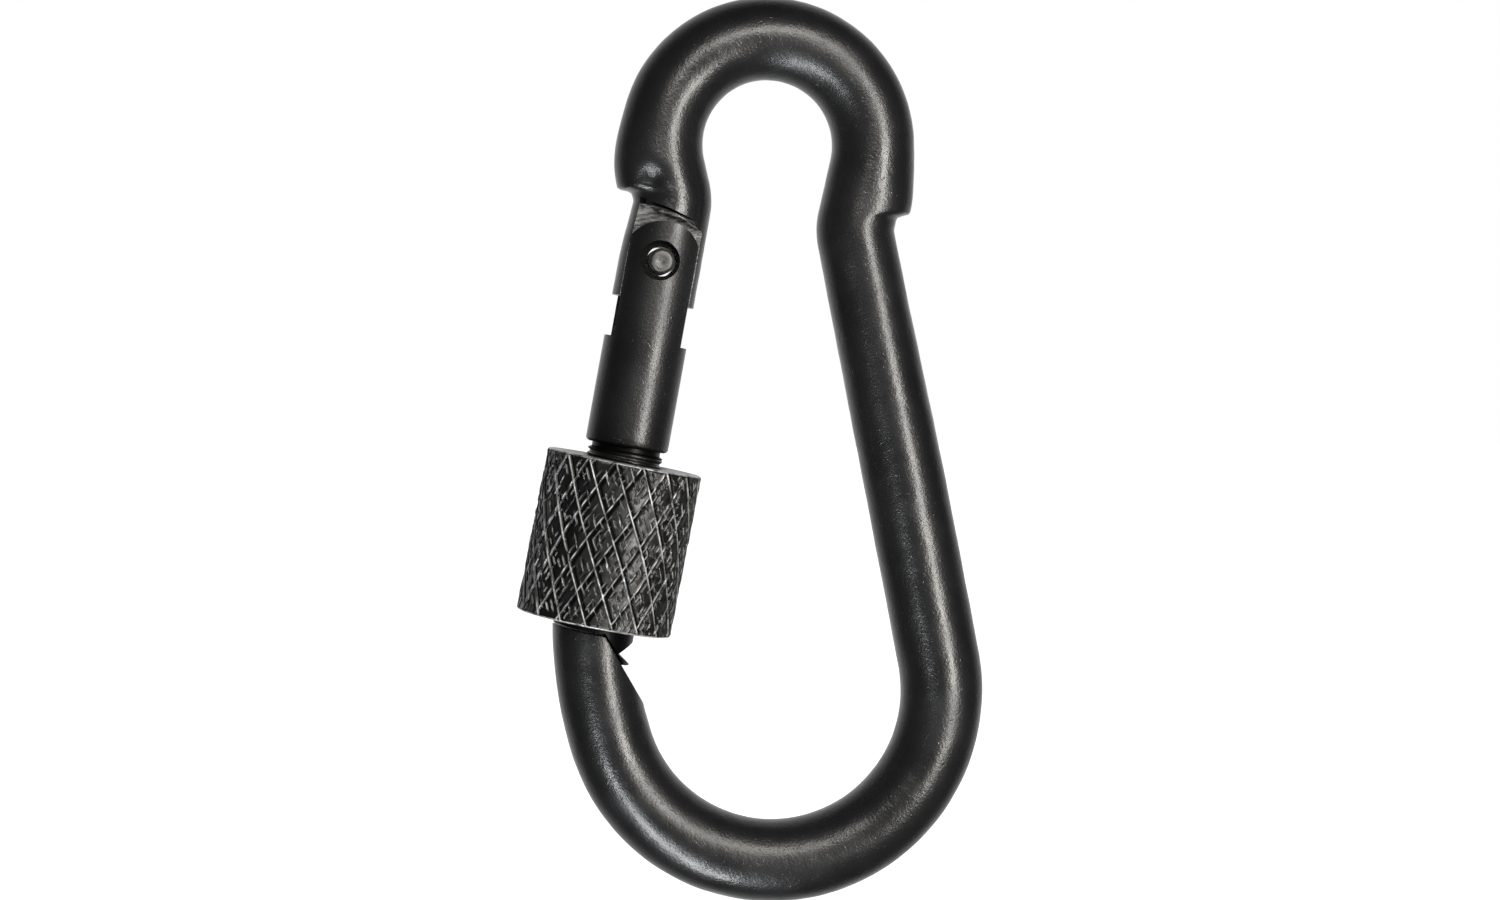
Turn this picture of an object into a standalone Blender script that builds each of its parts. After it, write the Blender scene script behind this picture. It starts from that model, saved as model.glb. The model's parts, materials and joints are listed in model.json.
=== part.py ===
"""Locking carabiner: a pear-shaped spring hook of bent round steel with a screw-lock gate.

It is modelled upright. The hook lies in the XZ plane with its small loop on top, and the gate is on
the left. The origin is the inner top of the small loop, where the hook hangs. Sizes in the constants
are millimetres; the objects are in metres.
"""

import math

import bmesh
import bpy
from mathutils import Vector

MM = 0.001

# Bent wire of the hook
WIRE_RADIUS = 5.5
LOOP_RADIUS = 14.05
BASKET_RADIUS = 22.5
LOOP_CENTRE = (0.0, WIRE_RADIUS - LOOP_RADIUS)
BASKET_CENTRE = (0.8, LOOP_CENTRE[1] - 72.3)
NOSE_CURVE_RADIUS = 53.0
NOSE_CURVE_START = 197.0
BEND_RADIUS = 6.2
RIGHT_BEND = (12.05, -19.7)
WIRE_SIDES = 32
ARC_STEP = 6.5

# Gate frame: its origin is the hinge, local X points into the hook, local Z up the gate
HINGE = (-14.25, -24.0)
GATE_TILT = 10.3
NECK_LENGTH = 8.35

# Tongue of the hook inside the gate's ears
TONGUE_HALF = 2.85
TONGUE_END = 5.3
SHOULDER_HEIGHT = 6.1
SHOULDER_SLOPE = 0.256
PIN_HOLE_RADIUS = 2.0

# Gate bar
EAR_RADIUS = 5.3
SLOT_HALF = 3.15
SLOT_DEPTH = 10.7
BAR_LENGTH = 24.8
THREAD_RADIUS = 5.0
RELIEF_RADIUS = 4.55
RELIEF_LENGTH = 0.7
RECESS_RADIUS = 2.6
RECESS_FLOOR = 4.2
BORE_RADIUS = 2.75
BORE_DEPTH = 22.0
TIP_LENGTH = 54.0

# Meeting of gate and nose: an arc about the hinge for a part, then slanted towards the inside
NOSE_END = 49.8
NOSE_CUT_TOP = 44.0
GATE_CHEEK_END = 49.4
GATE_MIDDLE_END = 49.5
SCARF_START = 1.4
SCARF_SLOPE = 1.172
SCARF_GAP = 0.45

# Notched blade on the gate's end, and the slot for it in the nose
BLADE_HALF = 2.0
BLADE_HEEL = (1.2, 50.6)
BLADE_BELLY = (2.6, 52.4)
BLADE_FOOT = (4.4, 53.2)
NOTCH_ROOT = (3.6, 51.7)
NOTCH_UPPER_SLOPE = -0.93
NOTCH_LOWER_SLOPE = 0.69
FORK_HALF = 2.3
FORK_HEEL = (0.85, 50.75)
FORK_BELLY = (2.35, 52.7)
FORK_FOOT = (4.25, 53.55)

# Rivet, plunger and spring
RIVET_RADIUS = 1.72
RIVET_HALF_LENGTH = 4.95
PLUNGER_TIP = 5.6
PLUNGER_RADIUS = 2.45
PLUNGER_LENGTH = 10.0
SPRING_TOP = 15.9
SPRING_BOTTOM = 21.7
SPRING_WIRE = 0.3
SPRING_COIL = 2.1
SPRING_TURNS = 6

# Lock sleeve and the ring that keeps it on the gate
SLEEVE_RADIUS = 10.6
SLEEVE_TOP = 26.7
SLEEVE_BOTTOM = 48.5
SLEEVE_CHAMFER = 0.7
SLEEVE_BORE = 5.3
SLEEVE_MOUTH = 6.45
MOUTH_DEPTH = 8.0
RING_TOP = 33.0
RING_THICKNESS = 1.0
RING_INNER = 5.35
RING_OUTER = 6.1
RING_GAP = 0.3
RING_SWEEP = 330.0


def clear_objects():
    for thing in list(bpy.data.objects):
        bpy.data.objects.remove(thing, do_unlink=True)


def make_material(name, colour, roughness, metallic):
    material = bpy.data.materials.new(name)
    material.use_nodes = True
    shader = material.node_tree.nodes["Principled BSDF"]
    shader.inputs["Base Color"].default_value = (*colour, 1.0)
    shader.inputs["Roughness"].default_value = roughness
    shader.inputs["Metallic"].default_value = metallic
    return material


def make_object(name, mesh_builder, parent=None, material=None):
    """An object from a bmesh whose vertices are in millimetres."""
    bmesh.ops.recalc_face_normals(mesh_builder, faces=mesh_builder.faces)
    bmesh.ops.scale(mesh_builder, vec=(MM, MM, MM), verts=mesh_builder.verts)
    mesh = bpy.data.meshes.new(name)
    mesh_builder.to_mesh(mesh)
    mesh_builder.free()
    thing = bpy.data.objects.new(name, mesh)
    bpy.context.scene.collection.objects.link(thing)
    thing.parent = parent
    if material is not None:
        mesh.materials.append(material)
        mesh.shade_smooth()
        mesh.set_sharp_from_angle(angle=math.radians(30))
    return thing


def hide_cutter(cutter):
    cutter.hide_render = True
    cutter.display_type = "WIRE"


def cut(thing, cutter):
    hide_cutter(cutter)
    modifier = thing.modifiers.new(cutter.name, "BOOLEAN")
    modifier.operation = "DIFFERENCE"
    modifier.solver = "EXACT"
    modifier.object = cutter


def gate_point(depth, inward):
    """World X and Z of a point given by its depth below the hinge and its place across the gate."""
    tilt = math.radians(GATE_TILT)
    x = HINGE[0] - depth * math.sin(tilt) + inward * math.cos(tilt)
    z = HINGE[1] - depth * math.cos(tilt) - inward * math.sin(tilt)
    return (x, z)


def arc(centre, radius, start, end):
    """Points along an arc, with both ends, from angles in degrees."""
    count = max(2, round(abs(end - start) / ARC_STEP))
    points = []
    for step in range(count + 1):
        angle = math.radians(start + (end - start) * step / count)
        x = centre[0] + radius * math.cos(angle)
        z = centre[1] + radius * math.sin(angle)
        points.append((x, z))
    return points


def tangent_angle(point, centre, radius, side):
    """Angle on a circle, in degrees, where a line from an outside point touches it."""
    across = point[0] - centre[0]
    up = point[1] - centre[1]
    spread = math.acos(radius / math.hypot(across, up))
    return math.degrees(math.atan2(up, across) + side * spread)


def bend(before, corner, after, radius):
    """Points of a rounded corner between two straight runs."""
    corner = Vector(corner)
    back = (Vector(before) - corner).normalized()
    ahead = (Vector(after) - corner).normalized()
    half = back.angle(ahead) / 2
    middle = corner + (back + ahead).normalized() * (radius / math.sin(half))
    first = corner + back * (radius / math.tan(half)) - middle
    last = corner + ahead * (radius / math.tan(half)) - middle
    start = math.degrees(math.atan2(first.y, first.x))
    turn = math.degrees(math.atan2(last.y, last.x)) - start
    turn = (turn + 180) % 360 - 180
    return arc(middle, radius, start, start + turn)


def hook_path():
    """Centre line of the bent wire, from the tongue over both loops to the nose."""
    left_bend = gate_point(-NECK_LENGTH, 0)
    loop_left = tangent_angle(left_bend, LOOP_CENTRE, LOOP_RADIUS, -1) % 360
    loop_right = tangent_angle(RIGHT_BEND, LOOP_CENTRE, LOOP_RADIUS, 1)
    basket_right = tangent_angle(RIGHT_BEND, BASKET_CENTRE, BASKET_RADIUS, -1)
    loop = arc(LOOP_CENTRE, LOOP_RADIUS, loop_left, loop_right)
    basket = arc(BASKET_CENTRE, BASKET_RADIUS, basket_right, NOSE_CURVE_START - 360)
    tongue = gate_point(TONGUE_END, 0)
    points = [tongue]
    points += bend(tongue, left_bend, loop[0], BEND_RADIUS)
    points += loop
    points += bend(loop[-1], RIGHT_BEND, basket[0], BEND_RADIUS)
    points += basket
    points += nose_curve(basket[-1])[1:]
    return points


def nose_curve(start):
    """The wire's last, flatter arc, from the basket up to the gate's end."""
    heading = math.radians(NOSE_CURVE_START)
    centre_x = start[0] - NOSE_CURVE_RADIUS * math.cos(heading)
    centre_z = start[1] - NOSE_CURVE_RADIUS * math.sin(heading)
    return arc((centre_x, centre_z), NOSE_CURVE_RADIUS, NOSE_CURVE_START, 177.0)


def sweep(points, radius, sides):
    """A closed round bar along points in the XZ plane."""
    builder = bmesh.new()
    rings = []
    for index, point in enumerate(points):
        before = Vector(points[max(index - 1, 0)])
        after = Vector(points[min(index + 1, len(points) - 1)])
        along = (after - before).normalized()
        across = Vector((along.y, -along.x))
        ring = []
        for side in range(sides):
            angle = 2 * math.pi * side / sides
            x = point[0] + radius * math.cos(angle) * across.x
            z = point[1] + radius * math.cos(angle) * across.y
            ring.append(builder.verts.new((x, radius * math.sin(angle), z)))
        rings.append(ring)
    join_rings(builder, rings)
    builder.faces.new(rings[0])
    builder.faces.new(rings[-1])
    return builder


def join_rings(builder, rings, closed=False):
    pairs = list(zip(rings, rings[1:]))
    if closed:
        pairs.append((rings[-1], rings[0]))
    for lower, upper in pairs:
        for side in range(len(lower)):
            following = (side + 1) % len(lower)
            corners = (lower[side], lower[following], upper[following], upper[side])
            builder.faces.new(corners)


def turned(profile, sides, closed=False):
    """A body turned about local Z from (radius, height) points. Unless closed, its ends are capped."""
    builder = bmesh.new()
    rings = []
    for radius, height in profile:
        ring = []
        for side in range(sides):
            angle = 2 * math.pi * side / sides
            place = (radius * math.cos(angle), radius * math.sin(angle), height)
            ring.append(builder.verts.new(place))
        rings.append(ring)
    join_rings(builder, rings, closed)
    if not closed:
        builder.faces.new(rings[0])
        builder.faces.new(rings[-1])
    return builder


def block(outline, low, high):
    """A block with an outline of (inward, depth) points in the gate frame, between two Y values."""
    builder = bmesh.new()
    near = [builder.verts.new((inward, low, -depth)) for inward, depth in outline]
    far = [builder.verts.new((inward, high, -depth)) for inward, depth in outline]
    join_rings(builder, [near, far])
    builder.faces.new(near)
    builder.faces.new(far)
    return builder


def cross_cylinder(radius, low, high, depth, sides):
    """A cylinder along Y in the gate frame, centred across the gate at the given depth."""
    builder = bmesh.new()
    rings = []
    for y in (low, high):
        ring = []
        for side in range(sides):
            angle = 2 * math.pi * side / sides
            place = (radius * math.cos(angle), y, radius * math.sin(angle) - depth)
            ring.append(builder.verts.new(place))
        rings.append(ring)
    join_rings(builder, rings)
    builder.faces.new(rings[0])
    builder.faces.new(rings[1])
    return builder


def scarf_depth(inward, offset=0.0):
    return NOSE_END + offset + (inward - SCARF_START) * SCARF_SLOPE


def make_hook_body(gate_axis, material):
    body = make_object("hook_body", sweep(hook_path(), WIRE_RADIUS, WIRE_SIDES), None, material)
    reach = WIRE_RADIUS + 3
    shoulder = [
        (-reach, -SHOULDER_HEIGHT - reach * SHOULDER_SLOPE),
        (reach, -SHOULDER_HEIGHT + reach * SHOULDER_SLOPE),
        (reach, SLOT_DEPTH),
        (-reach, SLOT_DEPTH),
    ]
    for side, low, high in (("near", -reach, -TONGUE_HALF), ("far", TONGUE_HALF, reach)):
        flat = make_object(f"cut_tongue_{side}", block(shoulder, low, high), gate_axis)
        cut(body, flat)
    hole = cross_cylinder(PIN_HOLE_RADIUS, -reach, reach, 0.0, 24)
    cut(body, make_object("cut_tongue_hole", hole, gate_axis))
    cut_nose(body, gate_axis, reach)
    return body


def end_line(radius, reach):
    """Points of an arc about the hinge, across the outer half of the gate."""
    points = []
    for inward in (-reach, -WIRE_RADIUS, 0.0):
        points.append((inward, math.sqrt(radius**2 - inward**2)))
    return points


def cut_nose(body, gate_axis, reach):
    """The nose's end meets the gate's, with a slot that lets the gate's blade in from the inside."""
    wide = reach + 3
    end = end_line(NOSE_END, reach)
    end.append((SCARF_START, NOSE_END))
    end.append((wide, scarf_depth(wide)))
    end.append((wide, NOSE_CUT_TOP))
    end.append((-reach, NOSE_CUT_TOP))
    cut(body, make_object("cut_nose_end", block(end, -reach, reach), gate_axis))
    fork = [
        (FORK_HEEL[0], NOSE_CUT_TOP + 1),
        FORK_HEEL,
        FORK_BELLY,
        FORK_FOOT,
        (wide + 1, FORK_FOOT[1]),
        (wide + 1, NOSE_CUT_TOP + 1),
    ]
    cut(body, make_object("cut_nose_fork", block(fork, -FORK_HALF, FORK_HALF), gate_axis))


def gate_profile():
    """Turned outline of the gate bar, from its ears down to its tip."""
    thread_top = BAR_LENGTH + RELIEF_LENGTH
    return [
        (WIRE_RADIUS, EAR_RADIUS + 0.5),
        (WIRE_RADIUS, -BAR_LENGTH + 0.4),
        (WIRE_RADIUS - 0.4, -BAR_LENGTH),
        (RELIEF_RADIUS, -BAR_LENGTH),
        (RELIEF_RADIUS, -thread_top),
        (THREAD_RADIUS, -thread_top - 0.4),
        (THREAD_RADIUS, -TIP_LENGTH),
    ]


def make_gate_bar(gate_axis, material):
    bar = make_object("gate_bar", turned(gate_profile(), 32), gate_axis, material)
    reach = WIRE_RADIUS + 3
    cut(bar, make_object("cut_ear_round", block(ear_outline(reach), -reach, reach), gate_axis))
    slot = [(-reach, -reach), (reach, -reach), (reach, SLOT_DEPTH), (-reach, SLOT_DEPTH)]
    cut(bar, make_object("cut_ear_slot", block(slot, -SLOT_HALF, SLOT_HALF), gate_axis))
    hole = cross_cylinder(PIN_HOLE_RADIUS, -reach, reach, 0.0, 24)
    cut(bar, make_object("cut_ear_hole", hole, gate_axis))
    for side, low, high in (("near", -reach, -RECESS_FLOOR), ("far", RECESS_FLOOR, reach)):
        recess = cross_cylinder(RECESS_RADIUS, low, high, 0.0, 24)
        cut(bar, make_object(f"cut_recess_{side}", recess, gate_axis))
    bore = turned([(BORE_RADIUS, -SLOT_DEPTH + 2), (BORE_RADIUS, -BORE_DEPTH)], 24)
    cut(bar, make_object("cut_spring_bore", bore, gate_axis))
    cut_gate_end(bar, gate_axis, reach)
    return bar


def ear_outline(reach):
    """Everything above the hinge outside a half-round about it."""
    outline = [(reach, 0.0), (reach, -reach), (-reach, -reach), (-reach, 0.0)]
    for step in range(25):
        angle = math.pi * step / 24
        outline.append((-EAR_RADIUS * math.cos(angle), -EAR_RADIUS * math.sin(angle)))
    return outline


def cut_gate_end(bar, gate_axis, reach):
    """The end keeps a gap to the nose, and its middle goes on as a blade with a notch."""
    below = TIP_LENGTH + reach
    cheek = end_line(GATE_CHEEK_END, reach)
    cheek.append((SCARF_START, NOSE_END - SCARF_GAP))
    cheek.append((reach, scarf_depth(reach, -SCARF_GAP)))
    cheek.append((reach, below))
    cheek.append((-reach, below))
    for side, low, high in (("near", -reach, -BLADE_HALF), ("far", BLADE_HALF, reach)):
        cutter = make_object(f"cut_gate_cheek_{side}", block(cheek, low, high), gate_axis)
        cut(bar, cutter)
    blade = end_line(GATE_MIDDLE_END, reach)
    blade.append((BLADE_HEEL[0], GATE_MIDDLE_END))
    blade += [BLADE_HEEL, BLADE_BELLY, BLADE_FOOT]
    blade.append((reach, BLADE_FOOT[1] + 0.2))
    blade.append((reach, below + 1))
    blade.append((-reach, below + 1))
    cut(bar, make_object("cut_gate_blade", block(blade, -reach - 1, reach + 1), gate_axis))
    run = reach - NOTCH_ROOT[0]
    notch = [
        NOTCH_ROOT,
        (reach, NOTCH_ROOT[1] + run * NOTCH_UPPER_SLOPE),
        (reach, NOTCH_ROOT[1] + run * NOTCH_LOWER_SLOPE),
    ]
    cut(bar, make_object("cut_gate_notch", block(notch, -reach, reach), gate_axis))


def make_hinge_rivet(gate_axis, material):
    """Its shank is set into a dished head at both ends."""
    half = RIVET_HALF_LENGTH
    profile = [
        (0.55, half - 0.35),
        (0.9, half - 0.05),
        (RIVET_RADIUS - 0.25, half),
        (RIVET_RADIUS, half - 0.25),
        (RIVET_RADIUS, 0.25 - half),
        (RIVET_RADIUS - 0.25, -half),
        (0.9, 0.05 - half),
        (0.55, 0.35 - half),
    ]
    rivet = make_object("hinge_rivet", turned(profile, 24), gate_axis, material)
    rivet.rotation_euler = (math.radians(90), 0, 0)
    return rivet


def make_plunger(gate_axis, material):
    """A round-nosed pin that presses on the tongue's end."""
    rest = PLUNGER_TIP
    profile = []
    for angle in (15, 35, 55, 75, 90):
        radius = PLUNGER_RADIUS * math.sin(math.radians(angle))
        height = PLUNGER_RADIUS * (math.cos(math.radians(angle)) - 1)
        profile.append((radius, height))
    profile.append((PLUNGER_RADIUS, -PLUNGER_LENGTH + 0.3))
    profile.append((PLUNGER_RADIUS - 0.3, -PLUNGER_LENGTH))
    plunger = make_object("plunger", turned(profile, 24), gate_axis, material)
    plunger.location = (0, 0, -rest * MM)
    return plunger


def make_gate_spring(gate_axis, material):
    """A compression spring as a round wire along a helix."""
    curve = bpy.data.curves.new("gate_spring", "CURVE")
    curve.dimensions = "3D"
    curve.bevel_depth = SPRING_WIRE * MM
    curve.bevel_resolution = 2
    curve.use_fill_caps = True
    spline = curve.splines.new("POLY")
    steps = SPRING_TURNS * 16
    spline.points.add(steps)
    top = SPRING_TOP + SPRING_WIRE
    bottom = SPRING_BOTTOM - SPRING_WIRE
    for step in range(steps + 1):
        angle = 2 * math.pi * step / 16
        depth = top + (bottom - top) * step / steps
        x = SPRING_COIL * math.cos(angle)
        y = SPRING_COIL * math.sin(angle)
        spline.points[step].co = (x * MM, y * MM, -depth * MM, 1)
    spring = bpy.data.objects.new("gate_spring", curve)
    bpy.context.scene.collection.objects.link(spring)
    spring.parent = gate_axis
    curve.materials.append(material)
    return spring


def make_lock_sleeve(gate_axis, material):
    """A tube with a wider mouth at the bottom and a groove inside for the ring."""
    length = SLEEVE_BOTTOM - SLEEVE_TOP
    groove_top = RING_TOP - RING_GAP - SLEEVE_TOP
    groove_bottom = groove_top + RING_THICKNESS + 2 * RING_GAP
    groove_radius = RING_OUTER + RING_GAP
    edge = SLEEVE_RADIUS - SLEEVE_CHAMFER
    profile = [
        (SLEEVE_BORE + 0.5, 0),
        (edge, 0),
        (SLEEVE_RADIUS, -SLEEVE_CHAMFER * 0.6),
        (SLEEVE_RADIUS, SLEEVE_CHAMFER * 0.6 - length),
        (edge, -length),
        (SLEEVE_MOUTH, -length),
        (SLEEVE_MOUTH, MOUTH_DEPTH - length),
        (SLEEVE_BORE, MOUTH_DEPTH + 0.8 - length),
        (SLEEVE_BORE, -groove_bottom),
        (groove_radius, -groove_bottom),
        (groove_radius, -groove_top),
        (SLEEVE_BORE, -groove_top),
        (SLEEVE_BORE, -0.5),
    ]
    sleeve = make_object("lock_sleeve", turned(profile, 48, closed=True), gate_axis, material)
    sleeve.location = (0, 0, -SLEEVE_TOP * MM)
    return sleeve


def make_retaining_ring(gate_axis, material):
    """A split flat ring inside the sleeve's groove."""
    builder = bmesh.new()
    section = [
        (RING_INNER, 0),
        (RING_OUTER, 0),
        (RING_OUTER, -RING_THICKNESS),
        (RING_INNER, -RING_THICKNESS),
    ]
    rings = []
    for step in range(31):
        angle = math.radians(RING_SWEEP * step / 30)
        ring = []
        for radius, height in section:
            place = (radius * math.cos(angle), radius * math.sin(angle), height)
            ring.append(builder.verts.new(place))
        rings.append(ring)
    join_rings(builder, rings)
    builder.faces.new(rings[0])
    builder.faces.new(rings[-1])
    ring_object = make_object("sleeve_retaining_ring", builder, gate_axis, material)
    ring_object.location = (0, 0, -RING_TOP * MM)
    return ring_object


def make_gate_axis():
    """An empty on the hinge axis whose Z runs up along the gate."""
    axis = bpy.data.objects.new("gate_axis", None)
    axis.location = (HINGE[0] * MM, 0, HINGE[1] * MM)
    axis.rotation_euler = (0, math.radians(GATE_TILT), 0)
    bpy.context.scene.collection.objects.link(axis)
    return axis


def main():
    clear_objects()
    gate_axis = make_gate_axis()
    make_hook_body(gate_axis, make_material("hook_black", (0.016, 0.016, 0.018), 0.38, 0.6))
    make_gate_bar(gate_axis, make_material("gate_black", (0.015, 0.015, 0.017), 0.36, 0.6))
    make_hinge_rivet(gate_axis, make_material("rivet_steel", (0.3, 0.3, 0.29), 0.35, 1.0))
    make_plunger(gate_axis, make_material("plunger_steel", (0.35, 0.35, 0.36), 0.3, 1.0))
    make_gate_spring(gate_axis, make_material("spring_steel", (0.42, 0.42, 0.43), 0.28, 1.0))
    make_lock_sleeve(gate_axis, make_material("sleeve_black", (0.014, 0.014, 0.016), 0.42, 0.6))
    make_retaining_ring(gate_axis, make_material("ring_steel", (0.38, 0.38, 0.39), 0.3, 1.0))


main()
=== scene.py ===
"""Looks of the locking carabiner: detailed meshes, coated-steel materials, soft studio light and camera.

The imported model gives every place. Lengths below are millimetres; the objects are in metres.
Places on the gate are given as (inward, y, depth): across the gate, along Y, and down from the hinge.
"""

import json
import math

import bmesh
import bpy
import numpy as np
from mathutils import Matrix, Vector, noise


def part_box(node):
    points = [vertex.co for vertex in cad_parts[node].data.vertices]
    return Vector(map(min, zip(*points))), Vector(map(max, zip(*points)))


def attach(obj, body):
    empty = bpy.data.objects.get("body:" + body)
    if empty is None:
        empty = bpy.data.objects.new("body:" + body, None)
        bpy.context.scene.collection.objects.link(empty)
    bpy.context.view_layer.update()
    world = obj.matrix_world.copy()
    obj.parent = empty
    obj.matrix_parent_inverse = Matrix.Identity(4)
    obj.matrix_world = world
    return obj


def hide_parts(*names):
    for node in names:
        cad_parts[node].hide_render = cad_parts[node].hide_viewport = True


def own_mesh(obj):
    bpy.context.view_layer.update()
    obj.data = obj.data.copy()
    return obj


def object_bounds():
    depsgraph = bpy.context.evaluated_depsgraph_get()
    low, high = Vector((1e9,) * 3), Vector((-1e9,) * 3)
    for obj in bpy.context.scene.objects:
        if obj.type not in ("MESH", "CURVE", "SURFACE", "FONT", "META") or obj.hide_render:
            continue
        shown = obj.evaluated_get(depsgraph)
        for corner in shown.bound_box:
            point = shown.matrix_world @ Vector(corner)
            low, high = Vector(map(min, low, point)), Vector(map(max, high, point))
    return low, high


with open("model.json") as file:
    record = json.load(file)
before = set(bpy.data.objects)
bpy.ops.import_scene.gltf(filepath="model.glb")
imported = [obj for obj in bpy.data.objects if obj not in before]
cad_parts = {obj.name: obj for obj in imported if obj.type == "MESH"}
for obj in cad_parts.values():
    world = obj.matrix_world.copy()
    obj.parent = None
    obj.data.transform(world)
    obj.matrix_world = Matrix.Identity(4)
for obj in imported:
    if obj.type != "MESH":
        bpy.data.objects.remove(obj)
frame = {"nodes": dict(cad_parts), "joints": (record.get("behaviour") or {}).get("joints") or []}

CAD_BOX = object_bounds()
MM = 0.001

JOINTS = {joint["name"]: joint for joint in frame["joints"]}
HINGE = Vector(JOINTS["gate_swing"]["pos_m"]) / MM
GATE_DOWN = Vector(JOINTS["sleeve_travel"]["axis"])
GATE_TILT = math.atan2(-GATE_DOWN.x, -GATE_DOWN.z)
HOOK_LOW, HOOK_HIGH = (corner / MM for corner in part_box("hook_body"))

# Bent wire of the hook
WIRE_RADIUS = (HOOK_HIGH.y - HOOK_LOW.y) / 2
LOOP_RADIUS = 14.05
BASKET_RADIUS = 22.5
LOOP_CENTRE = Vector((0.0, WIRE_RADIUS - LOOP_RADIUS))
BASKET_CENTRE = Vector((0.8, HOOK_LOW.z + WIRE_RADIUS + BASKET_RADIUS))
NOSE_CURVE_RADIUS = 53.0
NOSE_CURVE_START = 197.0
NOSE_CURVE_END = 177.0
BEND_RADIUS = 6.2
RIGHT_BEND = Vector((11.9, -19.7))
NECK_LENGTH = 8.35
WIRE_SIDES = 96
WIRE_STEP = 0.36

# Marks that the bending press left above each neck: a swell, then a sharp step down
PRESS_SPREAD = 1.5
PRESS_SLANT = 1.6
PRESS_RISE = (-9.0, -1.2)
PRESS_DROP = (-0.75, 0.2)
PRESS_SINK = (-0.6, 0.6)
PRESS_SINK_HOLD = 2.5
LEFT_PRESS_SHIFT = 2.5
LEFT_PRESS = {"sink": 0.55, "swell": 1.15, "fade": 12.0}
RIGHT_PRESS_SHIFT = 2.8
RIGHT_PRESS = {"sink": 0.62, "swell": 1.0, "fade": 45.0}

# A dent above the left step, and the slight unevenness of the drawn wire
DENT_SHIFT = Vector((-3.1, 2.3))
DENT_RADIUS = 2.5
DENT_DEPTH = 0.75
DENT_FALL = 2.2
WANDER_SLOW = (0.22, 0.045)
WANDER_QUICK = (0.9, 0.018)
WANDER_INWARD = 0.05

# Rounding of the cut edges
EDGE_ROUNDING = 0.15
EDGE_SEGMENTS = 2
EDGE_ANGLE = math.radians(38)

# Room that the cutters have outside the wire
CUTTER_MARGIN = 3

# Hinge end
TONGUE_HALF = 2.85
TONGUE_END = 5.3
SHOULDER_SLOPE = 0.256
SHOULDER_TOP = 7.0
SHOULDER_FOOT = 5.85
CRACK_FLOOR = 4.2
CRACK_LIFT = 0.16
CRACK_INNER_WIDTH = 0.62
CRACK_OUTER_WIDTH = 0.08
CRACK_OUTER_LIFT = 0.02
EAR_RADIUS = 5.25
SLOT_HALF = 3.15
SLOT_DEPTH = 10.7
PIN_HOLE_RADIUS = 2.0
RECESS_RADIUS = 2.62
RECESS_FLOOR = 4.15
RECESS_SHIFT = -0.3
RIVET_RADIUS = 1.72
RIVET_HALF_LENGTH = 4.9
RIVET_HEAD_RADIUS = 1.5
RIVET_HEAD_HEIGHT = 0.85
RIVET_CROWN = ((0.05, 0.0), (0.35, 0.0), (0.7, 0.0), (1.0, 0.0), (1.25, -0.03), (1.42, -0.1))
RIVET_DIMPLE_PLACE = (-0.1, -0.15)
RIVET_DIMPLE_RADIUS = 0.42
RIVET_DIMPLE_DEPTH = 0.22

# Gate bar
BAR_LENGTH = 24.8
BAR_CORNER = 0.45
BAR_RINGS = 51
BAR_RING_STEP = 0.587
RELIEF_DEPTH = 0.45
THREAD_RINGS = 260
TIP_RINGS = 12
THREAD_TOP = 25.6
THREAD_RADIUS = 5.0
THREAD_DEPTH = 0.3
THREAD_PITCH = 0.8
BORE_RADIUS = 2.75
BORE_DEPTH = 22.0
TIP_LENGTH = 54.0
COLLAR_TOP = 47.9
COLLAR_RADIUS = 5.42

# Closing spring in the gate's bore
SPRING_TOP = 15.9
SPRING_BOTTOM = 21.7
SPRING_WIRE = 0.3
SPRING_COIL = 2.1
SPRING_TURNS = 6
SPRING_TURN_STEPS = 24
SPRING_WIRE_SIDES = 10

# Meeting of gate and nose, the gate's notched blade and the slot for it
NOSE_END = 49.72
NOSE_CUT_TOP = 44.0
GATE_CHEEK_END = 49.45
GATE_MIDDLE_END = 49.5
SCARF_START = 1.4
SCARF_SLOPE = 1.172
SCARF_GAP = 0.4
BLADE_HALF = 2.0
BLADE_EDGE = ((1.2, 50.6), (1.8, 51.6), (2.6, 52.4), (3.5, 52.95), (4.3, 53.2), (4.75, 53.1))
NOTCH = ((3.6, 51.7), (8.5, 47.15), (8.5, 55.1))
FORK_HALF = 2.2
FORK_EDGE = ((0.95, 50.7), (1.55, 51.75), (2.4, 52.65), (3.4, 53.25), (4.3, 53.5))

# Lock sleeve
SLEEVE_RADIUS = 10.4
SLEEVE_TOP = 26.7
SLEEVE_BOTTOM = 48.5
SLEEVE_BORE = 5.3
SLEEVE_MOUTH = 6.45
MOUTH_DEPTH = 8.0
RING_GROOVE_TOP = 6.0
RING_GROOVE_BOTTOM = 7.6
RING_GROOVE_RADIUS = 6.4
SLEEVE_LEAN = 0.8
SLEEVE_NOD = 1.0
KNURL_COUNT = 18
KNURL_ANGLE = 27.5
KNURL_DEPTH = 0.22
SLEEVE_SIDES = 800
SLEEVE_ROWS = 240
SLEEVE_CHAMFER = 0.35
# Each family of main ridges: the way it leans, how strong it is and how quickly that changes
RIDGE_FAMILIES = ((-1, 0.8, 0.6), (1, 0.62, 1.1))
RIDGE_HALF_WIDTH = 0.2
GROOVE_SHIFT = 0.32
GROOVE_HALF_WIDTH = 0.36
# Fainter dashes between the main ridges: place in the spacing, seed and strength
DASH_ROWS = ((0.5, 7, 0.85), (0.26, 23, 0.6), (0.75, 31, 0.6))
DASH_HALF_WIDTH = 0.15
DASH_GROOVE_SHIFT = 0.24
DASH_GROOVE_HALF_WIDTH = 0.22
DASH_GROOVE_DEPTH = 0.6
CREST_FOOT = 0.15

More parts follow.
